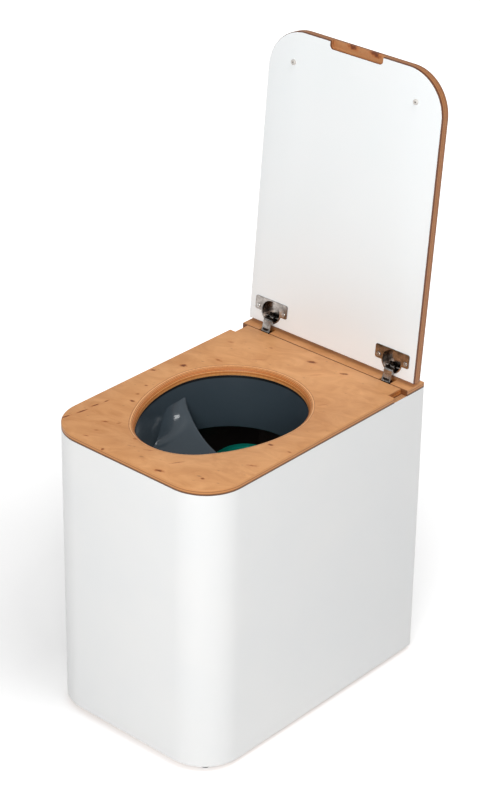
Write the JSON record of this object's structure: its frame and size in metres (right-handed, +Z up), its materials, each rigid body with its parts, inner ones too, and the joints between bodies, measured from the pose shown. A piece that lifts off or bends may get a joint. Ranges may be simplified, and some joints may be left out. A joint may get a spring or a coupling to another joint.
{
  "type": "composting toilet",
  "caption": "Free-standing composting toilet: bent plywood housing with white laminate, plywood seat board with an egg-shaped opening over a urine separator, containers inside and a hinged lid.",
  "frame": {"origin": "on the floor, in the middle of the floor space that the toilet takes with its lid open", "axes": "+Z up; +X to the right of someone who faces the toilet's front; +Y to the back, where the hinges are; the front faces -Y"},
  "size_m": [0.31, 0.4779, 0.9072],
  "materials": {
    "body_plywood": "sanded plywood",
    "seat_plywood": "oiled plywood",
    "hardwood": "plain beech",
    "white_laminate": "white laminate with a soft gloss",
    "dark_backing": "near-black backing film",
    "separator_plastic": "dark blue-grey, satin",
    "container_plastic": "teal, satin",
    "foot_rubber": "dark green-grey",
    "bumper_plastic": "pale, soft",
    "hinge_steel": "nickel plated",
    "plate_steel": "zinc plated",
    "screw_steel": "zinc plated"
  },
  "bodies": {
    "base": {"shell_core": "body_plywood", "outer_laminate": "white_laminate", "wall_backing": "dark_backing", "back_core": "body_plywood", "back_laminate": "white_laminate", "back_backing": "dark_backing", "base_board": "body_plywood", "hinge_rail": "seat_plywood", "rail_dowels": "hardwood", "panel_dowels": "hardwood", "seat_board": "seat_plywood", "seat_cleat_left": "hardwood", "seat_cleat_right": "hardwood", "cleat_screws": "screw_steel", "separator": "separator_plastic", "separator_screws": "screw_steel", "solids_container": "container_plastic", "urine_canister": "container_plastic", "foot_front_left": "foot_rubber", "foot_front_right": "foot_rubber", "foot_rear_left": "foot_rubber", "foot_rear_right": "foot_rubber", "foot_screws": "screw_steel", "hinge_arm_left": "hinge_steel", "hinge_arm_right": "hinge_steel", "arm_pins": "plate_steel", "mounting_plate_left": "plate_steel", "mounting_plate_right": "plate_steel", "mounting_screws": "screw_steel", "arm_screws": "screw_steel"},
    "outer_links": {"outer_link_left": "hinge_steel", "outer_link_right": "hinge_steel"},
    "inner_links": {"inner_link_left": "hinge_steel", "inner_link_right": "hinge_steel"},
    "lid": {"lid_core": "body_plywood", "lid_outer_laminate": "white_laminate", "lid_inner_laminate": "white_laminate", "lid_bumper_left": "bumper_plastic", "lid_bumper_right": "bumper_plastic", "hinge_cup_left": "hinge_steel", "hinge_cup_right": "hinge_steel", "cup_screws": "screw_steel", "cup_pins": "plate_steel"}
  },
  "joints": [
    {"name": "outer_link_swing", "type": "hinge", "parent": "base", "child": "outer_links", "pos_m": [0, 0.17749, 0.452], "axis": [1, 0, 0], "range_deg": [-25.2, 0]},
    {"name": "lid_turn", "type": "hinge", "parent": "outer_links", "child": "lid", "pos_m": [0, 0.1926, 0.47038], "axis": [1, 0, 0], "range_deg": [0, 120]},
    {"name": "inner_link_swing", "type": "hinge", "parent": "base", "child": "inner_links", "pos_m": [0, 0.17839, 0.44465], "axis": [1, 0, 0], "range_deg": [-24.7, 0]}
  ],
  "couplings": [
    {"joint": "outer_link_swing", "follows": "lid_turn", "ratio": -0.21},
    {"joint": "inner_link_swing", "follows": "lid_turn", "ratio": -0.20583}
  ]
}
